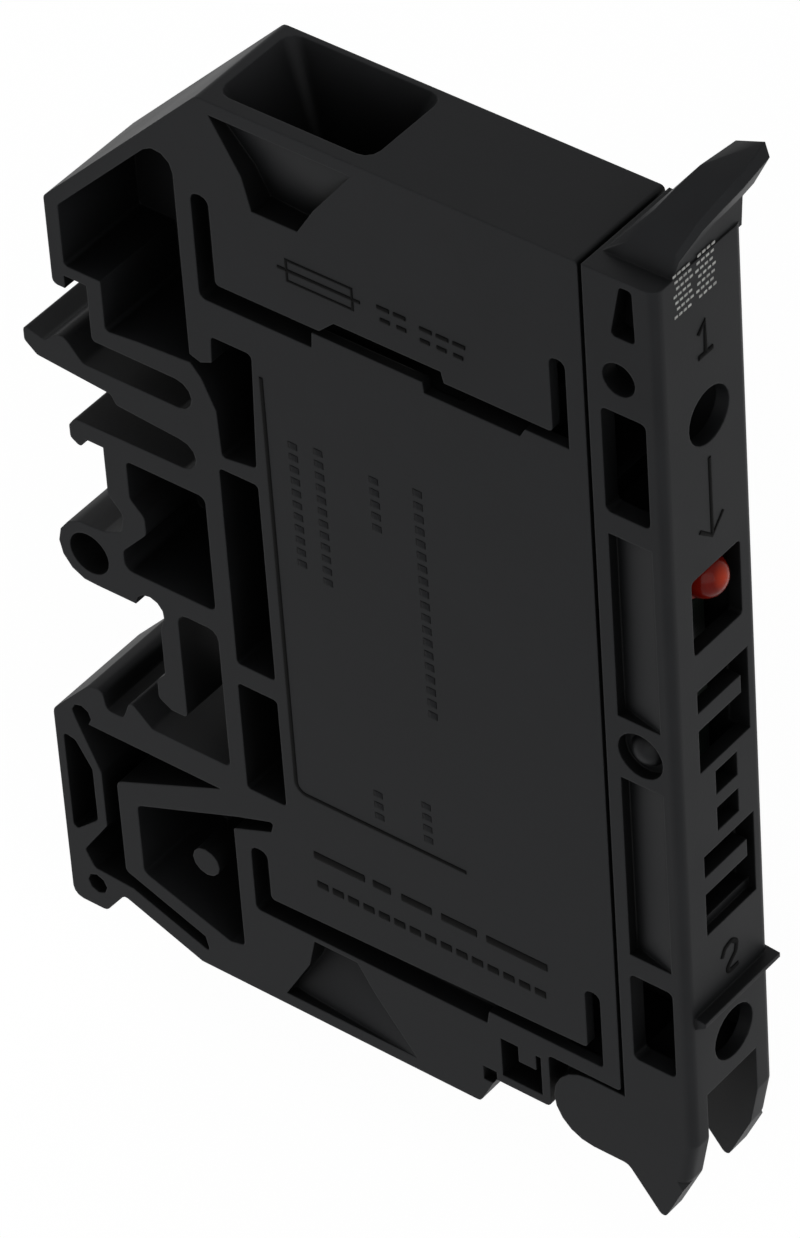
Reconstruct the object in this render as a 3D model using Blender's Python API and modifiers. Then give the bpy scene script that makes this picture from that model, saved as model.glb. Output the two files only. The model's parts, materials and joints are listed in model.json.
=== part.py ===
"""Fuse terminal block for a 35 mm top-hat rail, with a hinged lever that carries the cartridge fuse.

The origin is the middle of the rail in the plane of its lips' front faces. +Y points at the rail, -Y at the
lever, +Z at the line end and -X at the flat moulded side. Lengths below are millimetres.
"""

import math

import bmesh
import bpy
from mathutils import Matrix, Vector

MM = 0.001
CLEARANCE = 0.3
OVERCUT = 1.0  # how far a cutter runs past the face that it opens

# The block as a whole
THICKNESS = 8.6
HALF = THICKNESS / 2
TOP_Z = 37.1
SEAM_Y = -38.6
SHOULDER_Y = -10.2
FLANK_Y = 3.0
WALL = 0.8
WEB = 1.2
CENTRE_X = 0.3  # the clamps sit this far off the middle, towards the cover

# The rail and the foot that grips it
RAIL_WIDTH = 35.0
RAIL_PLAY = 1.1
SEAT_TOP_Z = (RAIL_WIDTH + RAIL_PLAY) / 2
SEAT_Y = 0.2
FOOT_BACK_Y = 7.05
FOOT_HOLE_RADIUS = 1.6
TOE_HOLE_RADIUS = 0.8
POST_RADIUS = 1.1

# The hinged lever
LEVER_BACK_Y = SEAM_Y - CLEARANCE
LEVER_FRONT_Y = -44.25
LEVER_WALL = 1.0
CHEEK = 1.3
CHEEK_RECESS = 0.8
CHEEK_FIELD_RISE = 0.12
CHEEK_FIELDS = [(2.7, 17.2), (-17.2, -2.3)]
DISC_Y = -41.5
DISC_Z = 0.15
DISC_RADIUS = 1.7
EDGE_ROUND = 0.7
CHIN_Y = -43.6
CHIN_Z = -35.3
NOSE_Y = -41.6
NOSE_Z = -39.5
CHIN_ROUND = 1.5
PIVOT_Y = -36.15
PIVOT_Z = -33.1
LOBE_RADIUS = 3.0
PRONG_NEAR = 1.6
PRONG_FAR = 1.8
PEG_RADIUS = 1.1
PEG_LENGTH = 0.9
TONGUE_RADIUS = 2.4
CUTOUT_TOP_Z = -28.3
END_WALL = 1.2
SADDLE_LENGTH = 1.8
LEVER_HOLE_RADIUS = 2.0
FRONT_SLOT_TOPS = (5.0, -8.5)  # the upper ends of the two bracket-shaped slots

# The cartridge fuse
FUSE_LENGTH = 31.75
FUSE_DIAMETER = 6.35
CAP_LENGTH = 6.35
CAP_WALL = 0.3
TUBE_WALL = 0.7
ELEMENT_RADIUS = 0.15
FUSE_Y = -37.25

# The clamps
CLAMP_Z = 25.1
SCREW_RADIUS = 1.5
HEAD_RADIUS = 2.5
HEAD_LENGTH = 2.1
HEAD_FRONT_Y = -32.4
SLOT_WIDTH = 0.8
SLOT_DEPTH = 1.1
YOKE_LENGTH = 6.0
YOKE_WIDTH = 5.6
YOKE_WALL = 0.6
YOKE_NUT = 1.6
YOKE_FLOOR = 1.5
YOKE_BACK_Y = -13.3
YOKE_FRONT_Y = -24.6
YOKE_TRAVEL = 4.0
BAR_THICKNESS = 1.2
BAR_WIDTH = 3.8
BAR_FRONT_Y = -21.6
BAR_CROSS_Z = 13.6  # where the bar runs forward to the fuse
LIP_BACK_Y = -28.3
LIP_END_Z = 9.6
SPRING_THICKNESS = 0.5
SPRING_WIDTH = 4.6

# The rooms in the housing
ROOM_BACK_Y = YOKE_BACK_Y + CLEARANCE
ROOM_FRONT_Y = YOKE_FRONT_Y - YOKE_TRAVEL - CLEARANCE
ROOM_LOW_Z = 21.5
ROOM_HIGH_Z = 29.0
PARTITION = 1.2
CLAMP_ROOM_WALL = 0.7
FRONT_POCKET_TOP_Z = 35.9
NECK_BACK_Y = -13.9
NECK_FRONT_Y = -19.6
NECK_HALF = 2.1
NECK_Z = 31.0
MOUTH_BACK_Y = -11.0
MOUTH_FRONT_Y = -22.7
MOUTH_NEAR_X = -3.3
MOUTH_FAR_X = 3.9
COVER_EDGE_Z = 29.8
COVER_BACK_Y = -12.2
COVER_STEP_Z = 20.6
COVER_STEP_Y = -13.4
COVER_PEG_RADIUS = 0.9
COVER_PEG_LENGTH = 3.0
COVER_PEGS = [(-31.0, 19.9), (-16.5, 19.5), (-31.0, -19.9), (-16.5, -19.5)]
FLAP_CUT_DEPTH = 1.5
WIRE_RECESS_DEPTH = 2.1
WIRE_RECESS_RIM = 0.8
WIRE_RECESS_Z = 30.0

# The blown-fuse lamp
BOARD_WIDTH = 5.4
BOARD_THICKNESS = 0.7
BOARD_HALF_LENGTH = 12.4
LAMP_RADIUS = 1.5
LAMP_RIM_RADIUS = 1.85
LAMP_RIM_LENGTH = 0.9
LAMP_Z = 11.9
LAMP_X = 0.75
LAMP_TIP_Y = -44.6
LEAF_THICKNESS = 0.3
LEAF_WIDTH = 0.7
LEAF_X = -2.25

# The finger wing at six places across the block: x, the (y, z) of its back edge, lip and underside, and the
# height at which the front face ends
WING = [
    (-2.6, (-40.6, 37.15), (-43.9, 37.2), ((-44.1, 37.15), (-44.2, 37.1)), 37.0),
    (-2.2, (-40.9, 38.3), (-44.2, 38.7), ((-44.45, 38.3), (-44.3, 38.0)), 37.8),
    (-0.7, (-41.7, 40.0), (-44.9, 40.5), ((-45.1, 39.9), (-44.6, 39.0)), 38.2),
    (0.5, (-42.3, 41.0), (-45.4, 41.5), ((-45.6, 40.8), (-44.8, 39.4)), 38.4),
    (2.0, (-43.0, 42.0), (-45.9, 42.5), ((-46.1, 41.7), (-45.0, 39.7)), 38.6),
    (HALF, (-43.9, 42.7), (-46.0, 43.5), ((-46.3, 42.5), (-45.1, 40.1)), 38.8),
]

PLANES = {
    "side": Matrix(((0, 0, 1), (1, 0, 0), (0, 1, 0))),
    "front": Matrix(((1, 0, 0), (0, 0, -1), (0, 1, 0))),
    "top": Matrix.Identity(3),
}
AXES = {
    "x": Matrix(((0, 0, 1), (0, 1, 0), (-1, 0, 0))),
    "y": Matrix(((1, 0, 0), (0, 0, 1), (0, -1, 0))),
    "z": Matrix.Identity(3),
}


def clear_scene():
    for obj in list(bpy.data.objects):
        bpy.data.objects.remove(obj, do_unlink=True)


def new_collection(name):
    collection = bpy.data.collections.new(name)
    bpy.context.scene.collection.children.link(collection)
    return collection


def plastic(name, colour, roughness=0.55, metallic=0.0):
    material = bpy.data.materials.new(name)
    material.use_nodes = True
    shader = material.node_tree.nodes["Principled BSDF"]
    shader.inputs["Base Color"].default_value = (*colour, 1.0)
    shader.inputs["Roughness"].default_value = roughness
    shader.inputs["Metallic"].default_value = metallic
    return material


# Outlines


def arc(centre, radius, start, end, steps):
    """Points on a circle between two angles in degrees, both ends included."""
    angles = [math.radians(start + (end - start) * i / steps) for i in range(steps + 1)]
    return [(centre[0] + radius * math.cos(a), centre[1] + radius * math.sin(a)) for a in angles]


def fillet(before, corner, after, radius):
    """The arc that rounds one corner, as points."""
    to_before = (Vector(before) - Vector(corner)).normalized()
    to_after = (Vector(after) - Vector(corner)).normalized()
    opening = to_before.angle(to_after)
    reach = radius / math.tan(opening / 2)
    middle = (to_before + to_after).normalized()
    centre = Vector(corner) + middle * (radius / math.sin(opening / 2))
    first = Vector(corner) + to_before * reach - centre
    last = Vector(corner) + to_after * reach - centre
    start = math.degrees(math.atan2(first.y, first.x))
    turn = (math.degrees(math.atan2(last.y, last.x)) - start + 180) % 360 - 180
    steps = max(2, round(abs(turn) / 32))
    return arc(centre, radius, start, start + turn, steps)


def rounded(corners):
    """A closed outline from (u, v) or (u, v, radius) corners, with each radius made an arc."""
    points = []
    for i, (u, v, *radius) in enumerate(corners):
        before = corners[i - 1][:2]
        after = corners[(i + 1) % len(corners)][:2]
        points += fillet(before, (u, v), after, radius[0]) if radius else [(u, v)]
    return points


def rectangle(low_u, high_u, low_v, high_v, radius=0.0):
    corners = [(low_u, low_v), (high_u, low_v), (high_u, high_v), (low_u, high_v)]
    return rounded([(*corner, radius) for corner in corners]) if radius else corners


def mirrored(outline):
    """The outline turned upside down, for the load end."""
    return [(u, -v) for u, v in outline]


def strip(path, thickness):
    """The outline of a bent strip of one thickness about an open path."""
    left, right = [], []
    for i, point in enumerate(path):
        ahead = Vector(path[min(i + 1, len(path) - 1)]) - Vector(point)
        behind = Vector(point) - Vector(path[max(i - 1, 0)])
        ahead = ahead.normalized() if ahead.length else behind.normalized()
        behind = behind.normalized() if behind.length else ahead
        normal = Vector((-(ahead + behind).y, (ahead + behind).x)).normalized()
        offset = normal * thickness / 2 / normal.dot(Vector((-ahead.y, ahead.x)))
        left.append(tuple(Vector(point) + offset))
        right.append(tuple(Vector(point) - offset))
    return left + right[::-1]


# Solids


def place(mesh, name, collection):
    obj = bpy.data.objects.new(name, mesh)
    collection.objects.link(obj)
    return obj


def outward(mesh):
    """Welds the mesh and turns its faces outwards."""
    shape = bmesh.new()
    shape.from_mesh(mesh)
    bmesh.ops.remove_doubles(shape, verts=shape.verts, dist=0.001 * MM)
    bmesh.ops.recalc_face_normals(shape, faces=shape.faces)
    shape.to_mesh(mesh)
    shape.free()


def prism(name, outlines, low, high, plane, collection):
    """Flat outlines extruded from low to high across their plane. An outline inside another is a hole."""
    curve = bpy.data.curves.new(name, "CURVE")
    curve.dimensions = "2D"
    curve.fill_mode = "BOTH"
    curve.extrude = (high - low) / 2 * MM
    for outline in outlines:
        spline = curve.splines.new("POLY")
        spline.points.add(len(outline) - 1)
        for point, (u, v) in zip(spline.points, outline):
            point.co = (u * MM, v * MM, 0, 1)
        spline.use_cyclic_u = True
    guide = place(curve, name + "_outline", collection)
    turn = PLANES[plane]
    middle = (low + high) / 2 * MM * (-1 if plane == "front" else 1)
    guide.matrix_world = turn.to_4x4() @ Matrix.Translation((0, 0, middle))
    bpy.context.view_layer.update()
    graph = bpy.context.evaluated_depsgraph_get()
    mesh = bpy.data.meshes.new_from_object(guide.evaluated_get(graph))
    outward(mesh)
    obj = place(mesh, name, collection)
    obj.matrix_world = guide.matrix_world.copy()
    bpy.data.objects.remove(guide)
    return obj


def box(name, low, high, collection):
    size = [b - a for a, b in zip(low, high)]
    shape = bmesh.new()
    bmesh.ops.create_cube(shape, size=MM)
    bmesh.ops.scale(shape, vec=size, verts=shape.verts)
    mesh = bpy.data.meshes.new(name)
    shape.to_mesh(mesh)
    shape.free()
    obj = place(mesh, name, collection)
    obj.location = [(a + b) / 2 * MM for a, b in zip(low, high)]
    return obj


def cylinder(name, centre, radius, length, axis, collection, sides=24):
    """A cylinder about the named axis, with centre at its middle."""
    shape = bmesh.new()
    bmesh.ops.create_cone(
        shape,
        cap_ends=True,
        segments=sides,
        radius1=radius * MM,
        radius2=radius * MM,
        depth=length * MM,
    )
    mesh = bpy.data.meshes.new(name)
    shape.to_mesh(mesh)
    shape.free()
    obj = place(mesh, name, collection)
    obj.matrix_world = Matrix.Translation(Vector(centre) * MM) @ AXES[axis].to_4x4()
    return obj


def turned(name, profile, centre, axis, collection, steps=24):
    """A profile of (radius, height) points, run down its outer side, turned about the named axis."""
    mesh = bpy.data.meshes.new(name)
    edges = [(i, i + 1) for i in range(len(profile) - 1)]
    if profile[0][0] > 0:
        edges.append((len(profile) - 1, 0))
    mesh.from_pydata([(r * MM, 0, h * MM) for r, h in profile], edges, [])
    obj = place(mesh, name, collection)
    obj.matrix_world = Matrix.Translation(Vector(centre) * MM) @ AXES[axis].to_4x4()
    screw = obj.modifiers.new("Turn", "SCREW")
    screw.steps = steps
    screw.render_steps = steps
    screw.use_merge_vertices = True
    screw.merge_threshold = 0.00001
    screw.use_smooth_shade = False
    return obj


def loft(name, sections, collection):
    """A closed solid through rings of (x, y, z) points, with flat ends."""
    count = len(sections[0])
    points = [tuple(c * MM for c in point) for ring in sections for point in ring]
    faces = [tuple(range(count)), tuple(range(len(points) - count, len(points)))]
    for ring in range(len(sections) - 1):
        for i in range(count):
            j = (i + 1) % count
            base = ring * count
            faces.append((base + i, base + j, base + count + j, base + count + i))
    mesh = bpy.data.meshes.new(name)
    mesh.from_pydata(points, [], faces)
    outward(mesh)
    return place(mesh, name, collection)


def combine(target, tools, operation):
    """Cuts the tools from the target, or joins them to it, one Boolean each."""
    for tool in tools:
        tool.hide_render = True
        tool.display_type = "WIRE"
        modifier = target.modifiers.new(tool.name, "BOOLEAN")
        modifier.operation = operation
        modifier.object = tool
        modifier.solver = "EXACT"


def smooth(obj, degrees=35):
    obj.data.shade_smooth()
    obj.data.set_sharp_from_angle(angle=math.radians(degrees))


# Housing outlines, as (y, z) seen from the flat side


def upper_hook():
    """From the shoulder down to the rail's plane: the flank, its stub and the notch over the upper lip."""
    return [
        (SHOULDER_Y, TOP_Z, 0.6),
        (FLANK_Y, TOP_Z + SHOULDER_Y - FLANK_Y, 0.5),
        (FLANK_Y, SEAT_TOP_Z - 1.0, 0.4),
        (FLANK_Y - 1.0, SEAT_TOP_Z - 1.0),
        (FLANK_Y - 1.0, SEAT_TOP_Z),
        (SEAT_Y, SEAT_TOP_Z),
        (SEAT_Y, 13.7, 0.3),
    ]


def spring_arms():
    """The two slots that free the foot, the arm with its nub between them and the fin under them."""
    slot_one = arc((-6.5, 12.55), 1.15, 90, 270, 6)
    slot_two = arc((-6.4, 7.65), 1.15, 90, 270, 6)
    arm = [
        (1.2, 11.4, 0.6),
        (2.8, 13.2, 0.7),
        (4.2, 11.9, 0.5),
        (5.95, 12.4, 0.3),
        (5.95, 11.2, 0.3),
        (5.0, 10.4, 0.4),
        (-0.9, 9.9, 0.3),
        (-1.3, 9.2, 0.3),
    ]
    fin = [
        (2.4, 6.4, 0.4),
        (2.9, 5.7, 0.3),
        (2.9, 4.7, 0.3),
        (2.1, 4.2, 0.3),
        (1.6, 5.05, 0.2),
        (0.2, 5.05),
        (0.2, 1.2, 0.5),
    ]
    return slot_one + arm + slot_two + fin


def spring_foot():
    """The S-shaped neck, the round lobe and the latch tongue under it."""
    lobe = arc((2.35, -4.75), 2.5, 100, -100, 8)
    neck = [(-0.9, 0.0, 0.6), (-0.6, -1.6, 0.6), (0.9, -2.2, 0.5)]
    recess = arc((-2.4, -7.2), 1.15, 0, 190, 6)
    tongue = [
        (-3.15, -8.4),
        (-3.15, -12.3, 0.3),
        (-2.4, -13.1, 0.3),
        (-2.4, -14.6, 0.4),
        (-3.4, -15.2, 0.3),
        (-4.7, -15.2, 0.3),
        (-4.7, -6.3, 0.8),
        (-8.0, -6.3, 0.8),
    ]
    return neck + lobe + recess + tongue


def lower_hook():
    """The floor behind the tongue, the groove for the lower lip and the deep foot below it."""
    groove_z = -SEAT_TOP_Z
    return [
        (-8.0, groove_z + 0.25, 0.4),
        (-1.5, groove_z + 0.25, 0.4),
        (0.2, groove_z + 1.8, 0.3),
        (0.9, groove_z, 0.4),
        (2.3, groove_z, 0.4),
        (2.6, groove_z + 1.6, 0.5),
        (3.8, groove_z + 1.3, 0.4),
        (FOOT_BACK_Y, groove_z - 2.2, 0.8),
        (FOOT_BACK_Y, -36.8, 0.8),
        (4.2, -36.8, 0.6),
        (2.5, -34.6, 0.4),
        (-3.9, -TOP_Z, 0.4),
    ]


def pivot_end():
    """The bottom and the front corner, cut back where the lever's prongs turn."""
    wall_y = PIVOT_Y + LOBE_RADIUS + CLEARANCE
    return [
        (-27.0, -TOP_Z, 0.4),
        (-28.4, -34.4),
        (wall_y, -34.4, 0.4),
        (wall_y, -COVER_EDGE_Z, 0.3),
        (SEAM_Y, -COVER_EDGE_Z, 0.3),
        (SEAM_Y, TOP_Z, 0.3),
    ]


def core_pockets():
    """The pockets between the ribs of the foot, open to the flat side."""
    skin = 1.1
    upper = [
        (-7.85, TOP_Z - 3.7, 1.3),
        (FLANK_Y - skin, TOP_Z - 13.45, 0.4),
        (FLANK_Y - skin, SEAT_TOP_Z + 0.85, 0.3),
        (-1.0, SEAT_TOP_Z + 0.85),
        (-1.0, 15.0, 0.3),
        (-3.5, 15.3),
        (-7.8, 15.6),
        (-8.6, 14.7),
        (-9.1, 13.6),
        (-9.6, 12.5),
        (-9.74, 8.9, 0.3),
        (-12.5, 9.3, 0.3),
        (-12.9, 18.5, 0.4),
        (-9.7, 18.5, 0.3),
        (-9.6, 16.4),
        (-8.7, 16.0),
        (-7.85, 16.3),
    ]
    middle = [
        (-8.0, 4.8, 0.5),
        (-1.6, 4.8, 0.4),
        (-1.6, 1.7, 0.5),
        (-2.7, 0.6, 0.6),
        (-2.7, -0.8, 0.6),
        (-0.6, -3.1, 0.6),
        (-0.6, -4.6, 0.6),
        (-8.0, -4.6, 0.5),
    ]
    wedge = [
        *arc((4.6, -19.6), 0.8, -37, 228, 6),
        (-7.0, -20.2),
        (2.1, -24.2, 0.6),
        (2.1, -32.1, 0.4),
        (-4.4, -34.6),
        (-4.7, -35.9, 0.2),
        (1.6, -33.5),
        (4.9, -33.3, 0.3),
        (5.6, -32.0, 0.3),
        (3.4, -28.8),
        (3.4, -24.1, 0.5),
    ]
    side = [
        (6.4, -22.0, 0.3),
        (5.4, -22.2, 0.3),
        (4.15, -24.2, 0.5),
        (4.15, -28.7, 0.5),
        (6.4, -30.7, 0.3),
    ]
    heel = [
        (0.5, -25.5, 0.5),
        (0.5, -31.4, 0.5),
        (-6.6, -33.9, 0.4),
        (-7.8, -33.6, 0.3),
        (-7.8, -23.2, 0.2),
        (-11.0, -21.9),
        (-11.3, -20.9, 0.2),
        (-8.2, -22.0),
    ]
    slots = [
        rectangle(-12.5, -9.4, -8.2, 7.9, 0.3),
        rectangle(-12.5, -9.3, -18.9, -9.9, 0.3),
    ]
    post = arc((-5.1, -27.6), POST_RADIUS, 0, 330, 11)
    toe = arc((4.8, -34.7), TOE_HOLE_RADIUS, 0, 315, 7)
    return [rounded(shape) for shape in (upper, middle, wedge, side, heel)] + slots + [post, toe]


def pivot_pocket():
    """The pocket beside the pivot, with the small block that stands in its upper edge."""
    low, high = -33.7, -30.4
    return [
        (-29.0, high),
        (-30.4, high),
        (-30.4, high - 1.3),
        (-31.8, high - 1.3),
        (-31.8, high),
        (-32.2, high),
        (-32.2, low),
        (-29.0, low),
    ]


def clamp_room():
    """The room of one yoke with the seat of its screw's head, as (y, z)."""
    head = HEAD_RADIUS + CLEARANCE
    front = HEAD_FRONT_Y - CLEARANCE
    return [
        (front, CLAMP_Z - head),
        (ROOM_FRONT_Y, CLAMP_Z - head),
        (ROOM_FRONT_Y, ROOM_LOW_Z),
        (ROOM_BACK_Y, ROOM_LOW_Z),
        (ROOM_BACK_Y, ROOM_HIGH_Z),
        (ROOM_FRONT_Y, ROOM_HIGH_Z),
        (ROOM_FRONT_Y, CLAMP_Z + head),
        (front, CLAMP_Z + head),
    ]


def bar_path():
    """The middle line of a current bar, from its lip behind the fuse to its end over the clamp."""
    lip_y = LIP_BACK_Y - BAR_THICKNESS / 2
    bar_y = BAR_FRONT_Y + BAR_THICKNESS / 2
    end_z = ROOM_HIGH_Z - CLEARANCE
    return [(lip_y, LIP_END_Z), (lip_y, BAR_CROSS_Z), (bar_y, BAR_CROSS_Z), (bar_y, end_z)]


def bar_channel():
    """The channel that holds a current bar between the fuse room and the clamp."""
    lip, bend, corner, end = bar_path()
    return strip([bend, corner, (end[0], ROOM_LOW_Z + OVERCUT)], BAR_THICKNESS + 2 * CLEARANCE)


def fuse_room_half():
    """Half the height of the room that the fuse and the lever's end walls stand in."""
    return FUSE_LENGTH / 2 + 2 * CLEARANCE + END_WALL


def hollow_rooms():
    """Plain rooms that keep the moulding's walls thin, as (y, z) rectangles for the line half."""
    skin = BAR_CROSS_Z - BAR_THICKNESS / 2 - CLEARANCE - 1.0
    above = BAR_CROSS_Z + BAR_THICKNESS / 2 + CLEARANCE + 1.0
    back = COVER_STEP_Y - WALL
    return [
        rectangle(LIP_BACK_Y + 1.3, back, 1.0, skin),
        rectangle(LIP_BACK_Y + 1.3, BAR_FRONT_Y - 1.3, above, ROOM_LOW_Z - 1.0),
        rectangle(BAR_FRONT_Y + BAR_THICKNESS + 1.3, back, skin + 1.0, 17.5),
    ]


def cover_outline(inset):
    """The side cover's outline, or with no inset the recess that it lies in."""
    edge = COVER_EDGE_Z - inset
    step = COVER_STEP_Z + inset
    front = SEAM_Y if inset else SEAM_Y - OVERCUT
    upper = [
        (front, edge),
        (COVER_BACK_Y - inset, edge),
        (COVER_BACK_Y - inset, step),
        (COVER_STEP_Y - inset, step),
    ]
    return upper + mirrored(upper)[::-1]


def flap_slots():
    """The two U-shaped slots that free the flaps in the flat side."""
    line = [
        (-9.1, 29.5, 0.6),
        (-9.1, 21.3, 0.5),
        (-17.8, 21.3),
        (-17.9, 22.5),
        (-26.3, 22.5),
        (-26.4, 21.7),
        (-33.6, 21.7),
        (-34.0, 22.4),
        (-37.3, 22.4),
        (-37.3, 29.0, 0.5),
        (-36.1, 29.0, 0.5),
        (-36.1, 23.2, 0.3),
        (-28.0, 23.2),
        (-27.8, 24.0),
        (-19.7, 24.0),
        (-18.5, 22.9),
        (-10.5, 22.9, 0.3),
        (-10.5, 29.5, 0.6),
    ]
    load = [
        (-9.1, -24.0, 0.6),
        (-9.1, -29.6, 0.4),
        (-28.0, -29.6),
        (-28.2, -28.5),
        (-37.3, -28.5, 0.3),
        (-37.3, -22.2, 0.5),
        (-36.1, -22.2, 0.5),
        (-36.1, -27.3, 0.3),
        (-10.5, -28.0, 0.3),
        (-10.5, -24.0, 0.6),
    ]
    return [rounded(line), rounded(load)]


def funnel(sign):
    """Rings of a wire entry, from inside the clamp room out past the end face."""
    slope_z = TOP_Z - NECK_Z
    rings = []
    for z, share in ((ROOM_HIGH_Z - 0.5, 0.0), (NECK_Z, 0.0), (TOP_Z, 1.0), (TOP_Z + OVERCUT, None)):
        share = 1.0 + OVERCUT / slope_z if share is None else share
        near = CENTRE_X - NECK_HALF + (MOUTH_NEAR_X - CENTRE_X + NECK_HALF) * share
        far = CENTRE_X + NECK_HALF + (MOUTH_FAR_X - CENTRE_X - NECK_HALF) * share
        front = NECK_FRONT_Y + (MOUTH_FRONT_Y - NECK_FRONT_Y) * share
        back = NECK_BACK_Y + (MOUTH_BACK_Y - NECK_BACK_Y) * share
        ring = rectangle(near, far, front, back, 0.6 + 0.4 * share)
        rings.append([(x, y, sign * z) for x, y in ring])
    return rings


def wire_recess(sign):
    """Rings of the recess on the flat side under a wire entry, from outside the face to its tilted floor."""
    flush = TOP_Z - 1.0
    outline = [
        (MOUTH_BACK_Y - 0.1, flush),
        (-13.3, 32.4),
        (-13.9, WIRE_RECESS_Z),
        (-17.4, WIRE_RECESS_Z),
        (-18.8, 32.2),
        (MOUTH_FRONT_Y + 0.8, flush),
    ]
    fall = (WIRE_RECESS_DEPTH - WIRE_RECESS_RIM) / (flush - WIRE_RECESS_Z)
    slant = WIRE_RECESS_RIM / (MOUTH_BACK_Y - MOUTH_FRONT_Y - 0.9)
    outside = [(-HALF - OVERCUT, y, sign * z) for y, z in outline]
    floor = []
    for y, z in outline:
        depth = WIRE_RECESS_RIM + fall * (flush - z) + slant * (y - outline[0][0])
        floor.append((-HALF + depth, y, sign * z))
    return [outside, floor]


# Lever outlines


def lever_outline():
    """The lever from the flat side: its straight front, the nose under it and the round pivot lobe."""
    lobe = arc((PIVOT_Y, PIVOT_Z), LOBE_RADIUS, -90, 90, 10)
    return rounded(
        [
            (LEVER_BACK_Y, TOP_Z),
            (LEVER_FRONT_Y, TOP_Z),
            (LEVER_FRONT_Y, PIVOT_Z + 1.1, CHIN_ROUND),
            (CHIN_Y, CHIN_Z, CHIN_ROUND),
            (NOSE_Y, NOSE_Z, EDGE_ROUND / 2),
            (LEVER_BACK_Y, PIVOT_Z - LOBE_RADIUS, EDGE_ROUND),
            *lobe,
            (LEVER_BACK_Y, PIVOT_Z + LOBE_RADIUS),
        ]
    )


def lever_rooms():
    """The lever's three rooms, as (x, z), split by the walls at the fuse's ends."""
    inner = HALF - CHEEK
    fuse = FUSE_LENGTH / 2 + CLEARANCE
    return [
        rectangle(-inner, inner, fuse + END_WALL, TOP_Z - LEVER_WALL),
        rectangle(-inner, inner, -fuse, fuse),
        rectangle(-inner, inner, CUTOUT_TOP_Z + WALL, -fuse - END_WALL),
    ]


def cheek_windows():
    """Openings through the near cheek, as (y, z)."""
    return [
        rounded([(-41.6, 36.6, 0.3), (-42.5, 36.6, 0.3), (-42.6, 32.7, 0.3), (-40.8, 32.7, 0.3)]),
        rectangle(-43.1, -39.8, 18.9, 26.9, 0.4),
        rectangle(-43.1, -39.8, -26.2, -18.9, 0.4),
        arc((-41.25, 29.5), 1.2, 0, 345, 23),
    ]


def cheek_field(side, low_z, high_z):
    """Rings of a long field in the outside of one cheek, whose floor rises towards the front."""
    floor = HALF - CHEEK_RECESS
    rim = HALF - CHEEK_FIELD_RISE
    outline = [(HALF + OVERCUT, -43.1), (rim, -43.1), (floor, -39.9), (HALF + OVERCUT, -39.9)]
    return [[(side * x, y, z) for x, y in outline] for z in (low_z, high_z)]


def front_openings():
    """The lamp's window, the slots and the two small squares in the front, as (x, z)."""
    window = rectangle(-2.1, 2.8, 7.9, 13.75, 0.3)
    squares = [rectangle(-0.5, 1.7, top - 1.9, top) for top in (-2.5, -5.5)]
    slots = []
    for top in FRONT_SLOT_TOPS:
        reach = [(-2.0, top), (3.15, top), (3.15, top - 6.6), (-2.0, top - 6.6)]
        bridge = [(-2.0, top - 3.15), (2.35, top - 3.15), (2.35, top - 1.75), (-2.0, top - 1.75)]
        slots.append(reach + bridge)
    return [window, *slots, *squares]


def wing_rings():
    """Rings of the finger wing, which rises from the lever's flat top towards the cover side."""
    low = TOP_Z - LEVER_WALL / 2
    rings = []
    for x, back, lip, under, base in WING:
        front = [(LEVER_FRONT_Y, base), (-44.1, low)]
        ring = [(-39.2, low), (-39.2, TOP_Z), back, lip, *under, *front]
        rings.append([(x, y, z) for y, z in ring])
    return rings


# Pieces


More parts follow.
